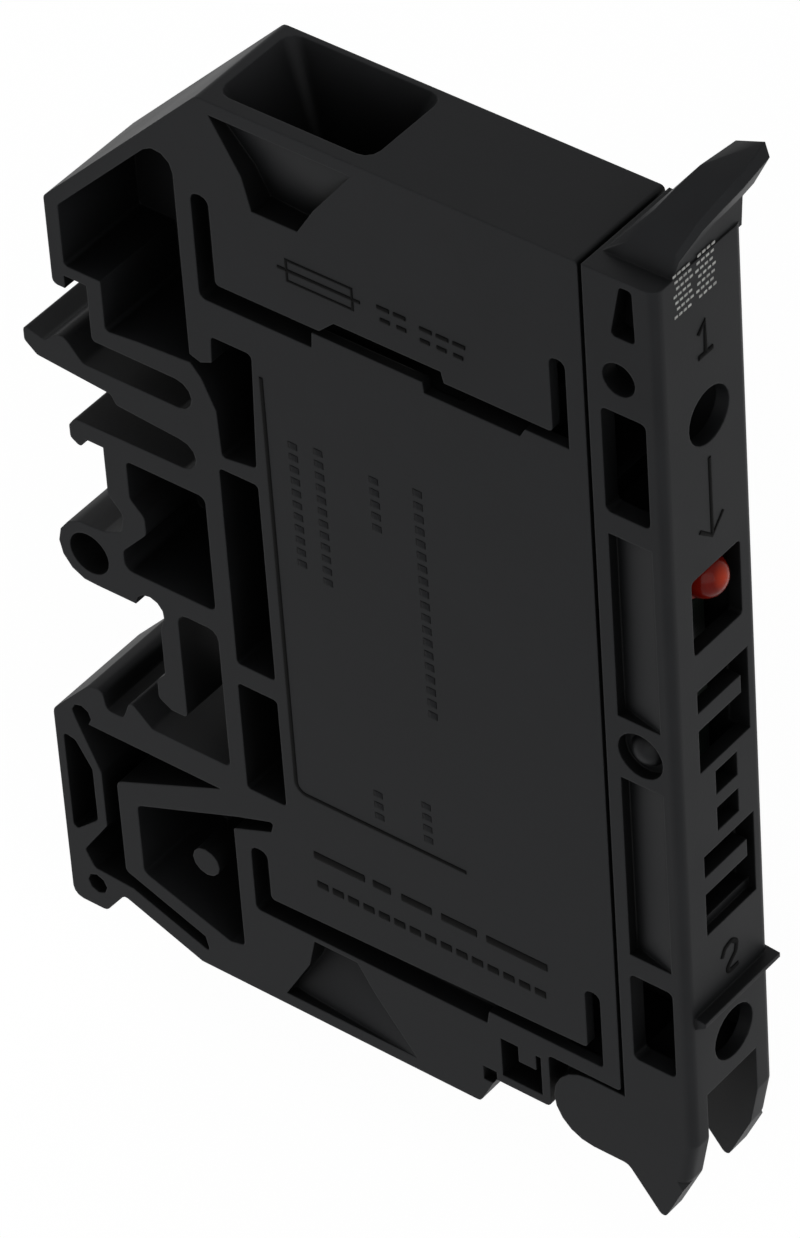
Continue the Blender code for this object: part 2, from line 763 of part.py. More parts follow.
def build_housing(parts, cutters):
    """The moulded body: flat near side, end faces, clamp rooms and the ribbed rail foot in one piece."""
    wall_y = PIVOT_Y + LOBE_RADIUS + CLEARANCE
    outline = rounded(upper_hook() + spring_arms() + spring_foot() + lower_hook() + pivot_end())
    body = prism("housing", [outline], -HALF, HALF, "side", parts)
    near, far = -HALF - OVERCUT, HALF + OVERCUT
    half = fuse_room_half()
    rooms = hollow_rooms() + [rectangle(SEAM_Y - OVERCUT, LIP_BACK_Y + CLEARANCE, -half, half)]
    rooms += [mirrored(room) for room in hollow_rooms()]
    clamp = clamp_room()
    channel = bar_channel()
    bar_near = CENTRE_X - BAR_WIDTH / 2 - CLEARANCE
    pocket_back = HEAD_FRONT_Y - CLEARANCE - PARTITION
    inner = HALF - WALL
    clamp_near = -HALF + CLAMP_ROOM_WALL
    notch = rectangle(-28.5, -27.4, -34.9, -33.7)
    pockets = [
        rectangle(-inner, inner, half + PARTITION, FRONT_POCKET_TOP_Z),
        rectangle(-inner, inner, 1.0 - COVER_EDGE_Z, -half - PARTITION),
    ]
    tools = [
        prism("cut_cores", core_pockets(), near, HALF - WEB, "side", cutters),
        prism("cut_rooms", rooms, -inner, far, "side", cutters),
        prism("cut_clamp_rooms", [clamp, mirrored(clamp)], clamp_near, far, "side", cutters),
        prism("cut_bar_channels", [channel, mirrored(channel)], bar_near, far, "side", cutters),
        prism("cut_front_pockets", pockets, SEAM_Y - OVERCUT, pocket_back, "front", cutters),
        prism("cut_cover_recess", [cover_outline(0)], inner - CLEARANCE, far, "side", cutters),
        prism("cut_flaps", flap_slots(), near, -HALF + FLAP_CUT_DEPTH, "side", cutters),
        prism("cut_pivot_pocket", [pivot_pocket()], near, 0.5, "side", cutters),
        prism("cut_pivot_notch", [notch], near, -HALF + WALL, "side", cutters),
        cylinder("cut_lobe", (0, 2.35, -4.75), FOOT_HOLE_RADIUS, 2 * far, "x", cutters),
    ]
    for sign, end in ((1, "line"), (-1, "load")):
        tools.append(loft(f"cut_{end}_funnel", funnel(sign), cutters))
        tools.append(loft(f"cut_{end}_recess", wire_recess(sign), cutters))
        centre = (CENTRE_X, pocket_back, sign * CLAMP_Z)
        tools.append(cylinder(f"cut_{end}_driver", centre, LEVER_HOLE_RADIUS, 4.0, "y", cutters))
    for i, (y, z) in enumerate(COVER_PEGS):
        length = COVER_PEG_LENGTH + CLEARANCE
        radius = COVER_PEG_RADIUS + CLEARANCE
        centre = (inner - length / 2, y, z)
        tools.append(cylinder(f"cut_socket_{i}", centre, radius, length, "x", cutters, 12))
    combine(body, tools, "DIFFERENCE")
    low, high = -HALF + PRONG_NEAR + CLEARANCE, HALF - PRONG_FAR - CLEARANCE
    front = PIVOT_Y - TONGUE_RADIUS
    top = 0.5 - COVER_EDGE_Z
    nose = arc((PIVOT_Y, PIVOT_Z), TONGUE_RADIUS, -50, -180, 8)
    shape = [(wall_y + 0.5, top), (wall_y + 0.5, -34.0), *nose, (front, top)]
    hole = arc((PIVOT_Y, PIVOT_Z), PEG_RADIUS + CLEARANCE, 0, 337.5, 15)
    combine(body, [prism("join_tongue", [shape, hole], low, high, "side", cutters)], "UNION")
    return body


def build_cover(parts, cutters):
    """The thin cover of the far side, with the pegs that hold it."""
    inner = HALF - WALL
    cover = prism("side_cover", [cover_outline(CLEARANCE)], inner, HALF, "side", parts)
    length = COVER_PEG_LENGTH + 0.4
    pegs = []
    for i, (y, z) in enumerate(COVER_PEGS):
        centre = (inner - COVER_PEG_LENGTH / 2 + 0.2, y, z)
        pegs.append(cylinder(f"join_peg_{i}", centre, COVER_PEG_RADIUS, length, "x", cutters, 12))
    combine(cover, pegs, "UNION")
    return cover


def build_lever(parts, cutters):
    """The hinged fuse carrier: a front wall, two cheeks, prongs on the pivot and the finger wing."""
    lever = prism("lever", [lever_outline()], -HALF, HALF, "side", parts)
    round_front(lever)
    inner = HALF - CHEEK
    wall_y = LEVER_FRONT_Y + LEVER_WALL
    half = FUSE_LENGTH / 2 + CLEARANCE
    near, far = -HALF - OVERCUT, HALF + OVERCUT
    low, high = -HALF + PRONG_NEAR, HALF - PRONG_FAR
    prongs = rectangle(low, high, -45.0, CUTOUT_TOP_Z)
    cuts = [
        prism("cut_lever_rooms", lever_rooms(), wall_y, PIVOT_Y, "front", cutters),
        prism("cut_prongs", [prongs], LEVER_FRONT_Y - OVERCUT, -30.0, "front", cutters),
        prism("cut_windows", cheek_windows(), near, -inner + 0.2, "side", cutters),
        prism("cut_front", front_openings(), LEVER_FRONT_Y - OVERCUT, wall_y + 0.5, "front", cutters),
    ]
    for sign, end in ((1, "line"), (-1, "load")):
        centre = (CENTRE_X, LEVER_FRONT_Y, sign * CLAMP_Z)
        cuts.append(cylinder(f"cut_{end}_hole", centre, LEVER_HOLE_RADIUS, 4.0, "y", cutters))
    for side in (-1, 1):
        edge = side * (HALF - CHEEK_RECESS / 2 + OVERCUT / 2)
        disc = (edge, DISC_Y, DISC_Z)
        cuts.append(cylinder(f"cut_disc_{side + 1}", disc, DISC_RADIUS, CHEEK_RECESS + OVERCUT, "x", cutters))
        for i, (low_z, high_z) in enumerate(CHEEK_FIELDS):
            cuts.append(loft(f"cut_field_{side + 1}_{i}", cheek_field(side, low_z, high_z), cutters))
    ridge = [(-43.8, -20.9), (-45.05, -21.0), (-45.05, -21.35), (-43.8, -22.2)]
    joins = [
        prism("join_ridge", [ridge], -HALF + EDGE_ROUND, HALF, "side", cutters),
        loft("join_wing", wing_rings(), cutters),
    ]
    reach = half + END_WALL
    for low_z, high_z, end in ((half, reach, "line"), (-reach, -half, "load")):
        saddle_low = low_z - (SADDLE_LENGTH if end == "line" else 0)
        saddle_high = high_z + (SADDLE_LENGTH if end == "load" else 0)
        wall = (inner + 0.2, -35.6, high_z)
        joins.append(box(f"join_{end}_end", (-inner - 0.2, wall_y - 0.4, low_z), wall, cutters))
        seat = (inner + 0.4, FUSE_Y - 1.6, saddle_high)
        joins.append(box(f"join_{end}_saddle", (-inner - 0.4, wall_y - 0.4, saddle_low), seat, cutters))
    combine(lever, cuts, "DIFFERENCE")
    combine(lever, joins, "UNION")
    bed = cylinder("cut_bed", (0, FUSE_Y, 0), FUSE_DIAMETER / 2 + CLEARANCE, 2 * half, "z", cutters, 32)
    combine(lever, [bed], "DIFFERENCE")
    pegs = []
    for x, side in ((low, 1), (high, -1)):
        centre = (x + side * (PEG_LENGTH - 0.3) / 2, PIVOT_Y, PIVOT_Z)
        length = PEG_LENGTH + 0.3
        pegs.append(cylinder(f"join_pivot_{side + 1}", centre, PEG_RADIUS, length, "x", cutters, 20))
    for side in (-1, 1):
        centre = (side * (HALF - CHEEK_RECESS - 0.2), DISC_Y, DISC_Z)
        rise = side * (CHEEK_RECESS + 0.15)
        dome = [(0, rise), (0.5, rise * 0.93), (0.9, rise * 0.7), (1.15, rise * 0.35), (1.2, 0), (0, 0)]
        profile = dome if side > 0 else dome[::-1]
        pegs.append(turned(f"join_dome_{side + 1}", profile, centre, "x", cutters, 16))
    combine(lever, pegs, "UNION")
    return lever


def round_front(lever):
    """Rounds the lever's two long front edges before anything is cut."""
    shape = bmesh.new()
    shape.from_mesh(lever.data)
    limit = (LEVER_FRONT_Y + 1.2) * MM
    chosen = []
    for edge in shape.edges:
        ends = [lever.matrix_world @ vert.co for vert in edge.verts]
        along = abs(ends[0].x - ends[1].x) < 0.01 * MM
        rim = abs(abs(ends[0].x) - HALF * MM) < 0.01 * MM
        sharp = len(edge.link_faces) == 2 and edge.calc_face_angle(0) > 1.0
        if along and rim and sharp and all(end.y < limit for end in ends):
            chosen.append(edge)
    bmesh.ops.bevel(shape, geom=chosen, offset=EDGE_ROUND * MM, segments=3, profile=0.5, affect="EDGES")
    shape.to_mesh(lever.data)
    shape.free()


def build_fuse(parts):
    """A glass cartridge fuse: its tube, two caps and the wire between them."""
    centre = (0, FUSE_Y, 0)
    radius = FUSE_DIAMETER / 2
    end = FUSE_LENGTH / 2
    bore = radius - CAP_WALL
    tube = bore - CLEARANCE
    reach = end - CAP_WALL - CLEARANCE
    ring = [(tube, reach), (tube, -reach), (tube - TUBE_WALL, -reach), (tube - TUBE_WALL, reach)]
    cup = [
        (0, end),
        (radius - 0.3, end),
        (radius, end - 0.3),
        (radius, end - CAP_LENGTH),
        (bore, end - CAP_LENGTH),
        (bore, end - CAP_WALL),
        (0, end - CAP_WALL),
    ]
    flipped = [(r, -h) for r, h in cup[::-1]]
    return [
        turned("fuse_tube", ring, centre, "z", parts),
        turned("fuse_cap_line", cup, centre, "z", parts),
        turned("fuse_cap_load", flipped, centre, "z", parts),
        cylinder("fuse_element", centre, ELEMENT_RADIUS, 2 * reach, "z", parts, 8),
    ]


def build_indicator(parts, cutters):
    """The lamp, its board and resistor, and the two leaves that reach the fuse caps."""
    back = FUSE_Y - FUSE_DIAMETER / 2 - CLEARANCE
    front = back - BOARD_THICKNESS
    half = BOARD_WIDTH / 2
    low, high = (-half, front, -BOARD_HALF_LENGTH), (half, back, BOARD_HALF_LENGTH)
    board = box("indicator_board", low, high, parts)
    seat = front - CLEARANCE
    resistor = box("indicator_resistor", (-1.3, seat - 0.6, -6.6), (1.9, seat, -4.9), parts)
    rim = seat - LAMP_RIM_LENGTH
    dome = arc((0, LAMP_TIP_Y + LAMP_RADIUS), LAMP_RADIUS, 0, -90, 6)
    collar = [(0, seat), (LAMP_RIM_RADIUS, seat), (LAMP_RIM_RADIUS, rim), (LAMP_RADIUS, rim)]
    lamp = [*collar, *dome[:-1], (0, LAMP_TIP_Y)]
    pieces = [board, resistor, turned("indicator_lamp", lamp, (LAMP_X, 0, LAMP_Z), "y", parts)]
    half_width = LEAF_WIDTH / 2
    surface = FUSE_Y - math.sqrt((FUSE_DIAMETER / 2) ** 2 - (LEAF_X + half_width) ** 2)
    foot_y = seat - LEAF_THICKNESS / 2
    bend_z = BOARD_HALF_LENGTH + CLEARANCE + LEAF_THICKNESS / 2
    path = [(foot_y, bend_z - 2.6), (foot_y, bend_z), (surface - CLEARANCE, bend_z)]
    leaf = strip(path, LEAF_THICKNESS)
    low_x, high_x = LEAF_X - half_width, LEAF_X + half_width
    pieces.append(prism("indicator_contact_line", [leaf], low_x, high_x, "side", parts))
    pieces.append(prism("indicator_contact_load", [mirrored(leaf)], low_x, high_x, "side", parts))
    return pieces


def build_clamp(end, sign, parts, cutters):
    """One end's bar, fuse contact, screw and yoke."""
    low, high = CENTRE_X - BAR_WIDTH / 2, CENTRE_X + BAR_WIDTH / 2
    outline = [(y, sign * z) for y, z in strip(bar_path(), BAR_THICKNESS)]
    bar = prism(f"{end}_current_bar", [outline], low, high, "side", parts)

    heel_y = LIP_BACK_Y - BAR_THICKNESS - CLEARANCE - SPRING_THICKNESS / 2
    toe_y = FUSE_Y + FUSE_DIAMETER / 2 + CLEARANCE + SPRING_THICKNESS / 2
    bend = (heel_y - toe_y) / 2
    centre = (heel_y - bend, BAR_CROSS_Z + 0.9)
    path = [(heel_y, LIP_END_Z + 0.4), *arc(centre, bend, 0, 180, 10), (toe_y, 10.6), (toe_y + 1.0, 9.5)]
    outline = [(y, sign * z) for y, z in strip(path, SPRING_THICKNESS)]
    low, high = CENTRE_X - SPRING_WIDTH / 2, CENTRE_X + SPRING_WIDTH / 2
    contact = prism(f"{end}_fuse_contact", [outline], low, high, "side", parts)

    tip = BAR_FRONT_Y - CLEARANCE
    head_back = HEAD_FRONT_Y + HEAD_LENGTH
    profile = [
        (0, tip),
        (SCREW_RADIUS - 0.3, tip),
        (SCREW_RADIUS, tip - 0.3),
        (SCREW_RADIUS, head_back),
        (HEAD_RADIUS, head_back),
        (HEAD_RADIUS, HEAD_FRONT_Y + 0.3),
        (HEAD_RADIUS - 0.3, HEAD_FRONT_Y),
        (0, HEAD_FRONT_Y),
    ]
    axis = (CENTRE_X, 0, sign * CLAMP_Z)
    screw = turned(f"{end}_clamp_screw", profile, axis, "y", parts)
    low = (CENTRE_X - HEAD_RADIUS - 1.0, HEAD_FRONT_Y - 1.0, sign * CLAMP_Z - SLOT_WIDTH / 2)
    high = (CENTRE_X + HEAD_RADIUS + 1.0, HEAD_FRONT_Y + SLOT_DEPTH, sign * CLAMP_Z + SLOT_WIDTH / 2)
    combine(screw, [box(f"cut_{end}_slot", low, high, cutters)], "DIFFERENCE")

    half = YOKE_WIDTH / 2
    outer = rectangle(CENTRE_X - half, CENTRE_X + half, YOKE_FRONT_Y, YOKE_BACK_Y, 0.8)
    room = half - YOKE_WALL
    floor = YOKE_BACK_Y - YOKE_FLOOR
    inner = rectangle(CENTRE_X - room, CENTRE_X + room, YOKE_FRONT_Y + YOKE_NUT, floor)
    middle = sign * CLAMP_Z
    low, high = middle - YOKE_LENGTH / 2, middle + YOKE_LENGTH / 2
    yoke = prism(f"{end}_clamp_yoke", [outer, inner], low, high, "top", parts)
    nut = (CENTRE_X, YOKE_FRONT_Y + YOKE_NUT / 2, middle)
    hole = cylinder(f"cut_{end}_nut", nut, SCREW_RADIUS + CLEARANCE, YOKE_NUT + 1.0, "y", cutters)
    combine(yoke, [hole], "DIFFERENCE")
    return bar, contact, screw, yoke


def carry(name, point, pieces, parts):
    """Parents the pieces of one moving body to an empty on its joint's axis."""
    pivot = bpy.data.objects.new(name, None)
    pivot.empty_display_size = 5 * MM
    pivot.location = Vector(point) * MM
    parts.objects.link(pivot)
    bpy.context.view_layer.update()
    for piece in pieces:
        piece.parent = pivot
        piece.matrix_parent_inverse = pivot.matrix_world.inverted()


def main():
    clear_scene()
    parts = new_collection("fuse_terminal_block")
    cutters = new_collection("cutters")
    housing = build_housing(parts, cutters)
    cover = build_cover(parts, cutters)
    lever = build_lever(parts, cutters)
    fuse = build_fuse(parts)
    indicator = build_indicator(parts, cutters)
    clamps = {end: build_clamp(end, sign, parts, cutters) for end, sign in (("line", 1), ("load", -1))}

    black = (0.022, 0.022, 0.024)
    finish(plastic("housing_plastic", black, 0.5), housing)
    finish(plastic("cover_plastic", black, 0.5), cover)
    finish(plastic("lever_plastic", (0.03, 0.03, 0.032), 0.48), lever)
    finish(plastic("fuse_glass", (0.75, 0.8, 0.8), 0.1), fuse[0])
    finish(plastic("fuse_cap_metal", (0.75, 0.74, 0.7), 0.25, 1.0), *fuse[1:])
    finish(plastic("board_laminate", (0.05, 0.25, 0.09), 0.5), indicator[0])
    finish(plastic("resistor_body", (0.02, 0.02, 0.02), 0.4), indicator[1])
    finish(plastic("lamp_red", (0.55, 0.02, 0.015), 0.2), indicator[2])
    finish(plastic("leaf_metal", (0.8, 0.72, 0.5), 0.3, 1.0), *indicator[3:])
    copper = plastic("contact_metal", (0.78, 0.74, 0.66), 0.3, 1.0)
    steel = plastic("clamp_steel", (0.6, 0.6, 0.58), 0.35, 1.0)
    for end, sign in (("line", 1), ("load", -1)):
        bar, contact, screw, yoke = clamps[end]
        finish(copper, bar, contact)
        finish(steel, screw, yoke)
        carry(f"{end}_screw_axis", (CENTRE_X, HEAD_FRONT_Y, sign * CLAMP_Z), [screw], parts)
        carry(f"{end}_yoke_slide", (CENTRE_X, YOKE_BACK_Y, sign * CLAMP_Z), [yoke], parts)
    carry("lever_pivot", (0, PIVOT_Y, PIVOT_Z), [lever, *fuse, *indicator], parts)


def finish(material, *pieces):
    """Gives each piece its own copy of a material and smooths its round faces."""
    for piece in pieces:
        piece.data.materials.append(material.copy() if len(pieces) > 1 else material)
        smooth(piece)


main()
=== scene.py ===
"""Looks of the fuse terminal block: moulded black plastic, metal parts, raised signs, light and camera.

Lengths are metres in the part's own frame. +Y points towards the rail, -Y towards the lever, +Z up to the
line end, and -X out of the flat side that faces the camera.
"""

import json
import math

import bmesh
import bpy
from mathutils import Matrix, Vector

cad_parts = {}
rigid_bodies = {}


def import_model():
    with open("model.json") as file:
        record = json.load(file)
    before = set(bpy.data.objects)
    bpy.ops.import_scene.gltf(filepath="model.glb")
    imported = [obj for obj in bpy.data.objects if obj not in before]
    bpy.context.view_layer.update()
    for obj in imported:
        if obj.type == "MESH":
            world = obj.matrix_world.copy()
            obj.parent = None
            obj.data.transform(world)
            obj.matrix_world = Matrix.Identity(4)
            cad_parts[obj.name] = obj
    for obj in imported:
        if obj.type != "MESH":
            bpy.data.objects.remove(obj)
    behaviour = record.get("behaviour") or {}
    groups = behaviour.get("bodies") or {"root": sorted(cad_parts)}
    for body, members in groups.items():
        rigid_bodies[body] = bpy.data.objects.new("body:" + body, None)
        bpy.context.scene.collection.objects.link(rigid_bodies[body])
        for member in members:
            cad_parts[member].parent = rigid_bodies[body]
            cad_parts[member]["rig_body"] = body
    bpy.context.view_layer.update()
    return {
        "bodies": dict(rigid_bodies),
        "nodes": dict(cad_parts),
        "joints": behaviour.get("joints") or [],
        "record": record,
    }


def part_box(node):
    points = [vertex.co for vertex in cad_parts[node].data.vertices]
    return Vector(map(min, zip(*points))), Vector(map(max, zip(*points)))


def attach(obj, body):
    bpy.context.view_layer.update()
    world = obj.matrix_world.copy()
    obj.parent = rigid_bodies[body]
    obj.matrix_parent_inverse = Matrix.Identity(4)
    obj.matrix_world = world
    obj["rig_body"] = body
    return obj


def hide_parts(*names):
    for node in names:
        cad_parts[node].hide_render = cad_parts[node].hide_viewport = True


MM = 0.001

# The camera, solved from the block's straight edges
IMAGE_HEIGHT = 1238
FOCAL_PIXELS = 8000
SENSOR = 36.0
CLIP_START = 0.01
CLIP_END = 20.0
CAMERA_PLACE = Vector((-0.28629, -0.26509, 0.32443))
CAMERA_RIGHT = Vector((0.61223, -0.78868, -0.05627))
CAMERA_BACK = Vector((-0.57343, -0.49188, 0.65516))

# The stage and its light
FLOOR_Z = -0.046
FLOOR_SIZE = 6.0
FLOOR_GLOW = 0.82
FLOOR_WHITE = 1.15
FLOOR_GREY = (0.9, 0.9, 0.9, 1.0)
WHITE = (1.0, 1.0, 1.0, 1.0)
ROOM_LIGHT = 0.22
KEY_DIRECTION = Vector((-0.8, -0.62, 0.05))
KEY_DISTANCE = 1.2
KEY_SIZE = 2.2
KEY_POWER = 20.0

# Edges of the moulded plastic: their radius, and the cosines between which the rounding gets a painted
# highlight
EDGE_RADIUS = 0.16 * MM
EDGE_HIGHLIGHT_STARTS = 0.97
EDGE_HIGHLIGHT_IS_FULL = 0.72
EDGE_HIGHLIGHT_SHARE = 0.65
CLOUD_SHARE = 0.35

# Painted shade in pockets: how far light is traced into them, how open the fully shaded and the unshaded
# places are, and the painted shade's colour
POCKET_REACH = 7.0 * MM
POCKET_IS_DARK = 0.55
POCKET_IS_OPEN = 0.95
POCKET_PAINTED_SHADE = (0.0015, 0.0016, 0.0016)

# The middle of a noise, where most of its values are
NOISE_LOW = 0.3
NOISE_HIGH = 0.7

# Depths of the fine textures
GRAIN_DEPTH = 0.02 * MM
SCRATCH_DEPTH = 0.01 * MM
LENS_DEPTH = 0.05 * MM

# How far the streaks of drawn metal and of the fuse's glass are squeezed along each axis
METAL_STRETCH = (1.0, 1.0, 14.0)
GLASS_STRETCH = (8.0, 8.0, 1.0)

# Smooth shading: faces that meet at less than the angle, and flats whose normals agree this well
SMOOTH_ANGLE = 34.0
FLAT_COSINE = 0.9998
WELD_DISTANCE = 0.002 * MM

# The clamp screws, as the CAD has them
SHANK_RADIUS = 1.5 * MM
HEAD_LENGTH = 2.1 * MM
THREAD_PITCH = 0.5 * MM
THREAD_RISE = 0.16 * MM
THREAD_STEPS = 28
THREAD_SIDES = 6

# The centre of the painted highlight on the lamp's lens, and how far from it the lens is bright and dark
LENS_HIGHLIGHT_CENTRE = (1.0 * MM, -44.7 * MM, 12.3 * MM)
LENS_HIGHLIGHT_FULL = 0.15 * MM
LENS_HIGHLIGHT_ENDS = 1.1 * MM

# The faces of the block that carry signs: a plane, the body that it rides on and its material slot
FLAT_SIDE_X = -0.0043
LEVER_FRONT_Y = -0.04425
SIDE_PLANE = Matrix(((0, 0, -1, FLAT_SIDE_X), (-1, 0, 0, 0), (0, 1, 0, 0), (0, 0, 0, 1)))
FRONT_PLANE = Matrix(((1, 0, 0, 0), (0, 0, -1, LEVER_FRONT_Y), (0, 1, 0, 0), (0, 0, 0, 1)))
SIDE = (SIDE_PLANE, "body", "housing_plastic")
FRONT = (FRONT_PLANE, "lever", "lever_plastic")
PRINTED_FRONT = (FRONT_PLANE, "lever", None)

# Widths and heights of the signs' beads, and the radii of their corners, in millimetres
FRAME_BEAD = (0.32, 0.06)
SYMBOL_BEAD = (0.26, 0.06)
RATING_BEAD = (0.34, 0.07)
BROAD_BEAD = (0.65, 0.05)
FINE_BEAD = (0.6, 0.05)
FAINT_BEAD = (0.75, 0.025)
ARROW_BEAD = (0.32, 0.06)
NUMERAL_BEAD = (0.4, 0.08)
PRINT_BEAD = (0.2, 0.02)
FRAME_CORNER = 0.8
NUMERAL_CORNER = 0.3
BEAD_SIDES = 10
CORNER_STEPS = 4

# Steps between the dashes of a row and of a column, in millimetres
ROW_STEP = 1.25
COLUMN_STEP = -0.95

# The white rows at the top of the lever, in millimetres
PRINT_ROWS = 7
PRINT_TOP = 37.3
PRINT_ROW_STEP = 0.5
PRINT_DASH = 0.3
PRINT_INDENT = 0.13


# Shader nodes written as expressions


class Wire:
    """A socket of a finish. Sums and products on it add Math nodes."""

    def __init__(self, finish, socket):
        self.finish = finish
        self.socket = socket

    def maths(self, operation, first, second):
        return self.finish.node("ShaderNodeMath", {"operation": operation}, {0: first, 1: second})

    def __add__(self, other):
        return self.maths("ADD", self, other)

    def __radd__(self, other):
        return self.maths("ADD", other, self)

    def __mul__(self, other):
        return self.maths("MULTIPLY", self, other)

    def __rmul__(self, other):
        return self.maths("MULTIPLY", other, self)


class Finish:
    """A material with one Principled shader, built node by node."""

    def __init__(self, name, fixed):
        self.material = bpy.data.materials.new(name)
        self.material.use_nodes = True
        self.tree = self.material.node_tree
        self.shader = self.tree.nodes["Principled BSDF"]
        for socket, value in fixed.items():
            self.shader.inputs[socket].default_value = value
        self.place = self.node("ShaderNodeTexCoord", output="Object")

    def node(self, kind, settings=None, inputs=None, output=0):
        """Adds a node with its settings and the values or links of its sockets, and returns one output."""
        made = self.tree.nodes.new(kind)
        for name, value in (settings or {}).items():
            setattr(made, name, value)
        for key, value in (inputs or {}).items():
            if isinstance(value, Wire):
                self.tree.links.new(value.socket, made.inputs[key])
            else:
                made.inputs[key].default_value = value
        return Wire(self, made.outputs[output])

    def noise(self, scale, detail, roughness=0.5):
        sizes = {"Vector": self.place, "Scale": scale, "Detail": detail, "Roughness": roughness}
        return self.node("ShaderNodeTexNoise", inputs=sizes)

    def spread(self, value, low, high, out_low=0.0, out_high=1.0):
        """A value stretched from one range to another and held inside it."""
        ends = {0: value, 1: low, 2: high, 3: out_low, 4: out_high}
        return self.node("ShaderNodeMapRange", {"clamp": True}, ends)

    def vary(self, noise, out_low=0.0, out_high=1.0):
        """The middle of a noise stretched over a range."""
        return self.spread(noise, NOISE_LOW, NOISE_HIGH, out_low, out_high)

    def streaks(self, stretch, scale, detail):
        """A noise that is drawn out along the axes with the smaller stretch."""
        lines = self.node("ShaderNodeMapping", inputs={"Vector": self.place, "Scale": stretch})
        sizes = {"Vector": lines, "Scale": scale, "Detail": detail}
        return self.node("ShaderNodeTexNoise", inputs=sizes)

    def colour(self, value):
        return value if isinstance(value, Wire) else (*value, 1.0)

    def blend(self, share, first, second):
        """A colour between two others."""
        ends = {"Factor": share, 6: self.colour(first), 7: self.colour(second)}
        return self.node("ShaderNodeMix", {"data_type": "RGBA"}, ends, output=2)

    def openness(self, reach):
        """1 on open faces and less inside pockets and slots."""
        return self.node("ShaderNodeAmbientOcclusion", {"samples": 3}, {"Distance": reach}, "AO")

    def rounded_edges(self, radius):
        return self.node("ShaderNodeBevel", {"samples": 4}, {"Radius": radius})

    def feed(self, socket, wire):
        self.tree.links.new(wire.socket, self.shader.inputs[socket])

    def feed_bump(self, height, strength, depth, base=None):
        """Feeds the shader's normal with a bump, on top of another normal where one is given."""
        inputs = {"Height": height, "Strength": strength, "Distance": depth}
        if base:
            inputs["Normal"] = base
        self.feed("Normal", self.node("ShaderNodeBump", inputs=inputs))


def moulded(name, dark, pale, roughness, gloss=0.09):
    """Black moulded plastic: a fine spark-eroded grain, slow clouding, a painted highlight along rounded
    edges, and painted shade in pockets.
    """
    finish = Finish(name, {"Specular IOR Level": gloss})
    edge = finish.rounded_edges(EDGE_RADIUS)
    surface = finish.node("ShaderNodeNewGeometry", output="Normal")
    both = {0: edge, 1: surface}
    facing = finish.node("ShaderNodeVectorMath", {"operation": "DOT_PRODUCT"}, both, "Value")
    # Painted highlight: the base colour turns pale where the rounded edge's normal leans away from the
    # face's
    edge_highlight = finish.spread(facing, EDGE_HIGHLIGHT_STARTS, EDGE_HIGHLIGHT_IS_FULL)
    cloud = finish.noise(90.0, 3.0, 0.6)
    grain = finish.noise(6500.0, 3.0, 0.6)
    share = finish.vary(cloud, 0.0, CLOUD_SHARE) + edge_highlight * EDGE_HIGHLIGHT_SHARE
    # Painted shade: the base colour goes to near black inside pockets and slots, where little of the room
    # is open to them
    lit = finish.spread(finish.openness(POCKET_REACH), POCKET_IS_DARK, POCKET_IS_OPEN)
    finish.feed("Base Color", finish.blend(lit, POCKET_PAINTED_SHADE, finish.blend(share, dark, pale)))
    finish.feed("Roughness", finish.vary(cloud, roughness - 0.05, roughness + 0.06))
    finish.feed_bump(grain, 0.35, GRAIN_DEPTH, edge)
    return finish.material


def plated(name, dark, bright, roughness):
    """Plated metal: lines drawn one way, with a soft change of gloss."""
    finish = Finish(name, {"Metallic": 1.0})
    drawn = finish.streaks(METAL_STRETCH, 900.0, 4.0)
    cloud = finish.noise(260.0, 3.0)
    finish.feed("Base Color", finish.blend(finish.vary(cloud), dark, bright))
    finish.feed("Roughness", finish.vary(drawn, roughness, roughness + 0.18))
    finish.feed_bump(drawn, 0.2, SCRATCH_DEPTH)
    return finish.material


def laminate(name):
    """Green board darkened to near black, painted shade for its place deep inside the housing, with a
    woven glass cloth showing faintly through its lacquer.
    """
    finish = Finish(name, {"Coat Weight": 0.4, "Coat Roughness": 0.15})
    cloth = {"Vector": finish.place, "Scale": 1200.0}
    across = finish.node("ShaderNodeTexWave", {"bands_direction": "X"}, cloth)
    along = finish.node("ShaderNodeTexWave", {"bands_direction": "Z"}, cloth)
    weave = across * 0.5 + along * 0.5
    # The colours are near black: painted shade for a board seen only through slots
    finish.feed("Base Color", finish.blend(weave, (0.002, 0.004, 0.003), (0.004, 0.008, 0.005)))
    finish.feed("Roughness", finish.spread(weave, 0.2, 0.8, 0.35, 0.5))
    finish.feed_bump(weave, 0.3, GRAIN_DEPTH)
    return finish.material


def lens(name, dark, bright):
    """Red lamp lens: a dark red body with a painted highlight near its tip, and a faint glow in the same
    colours.
    """
    gloss = {"Specular IOR Level": 0.06, "Coat Weight": 0.05, "Coat Roughness": 0.05}
    finish = Finish(name, {**gloss, "Emission Strength": 0.08})
    cloud = finish.noise(900.0, 2.0)
    ends = {0: finish.place, 1: LENS_HIGHLIGHT_CENTRE}
    far = finish.node("ShaderNodeVectorMath", {"operation": "DISTANCE"}, ends, "Value")
    # Painted highlight: the lens turns bright round a point near its tip, and the same colour also feeds a
    # faint glow
    share = finish.spread(far, LENS_HIGHLIGHT_ENDS, LENS_HIGHLIGHT_FULL) * 0.85 + cloud * 0.15
    body = finish.blend(share, dark, bright)
    finish.feed("Base Color", body)
    finish.feed("Emission Color", body)
    finish.feed("Roughness", finish.vary(cloud, 0.18, 0.3))
    finish.feed_bump(cloud, 0.15, LENS_DEPTH)
    return finish.material


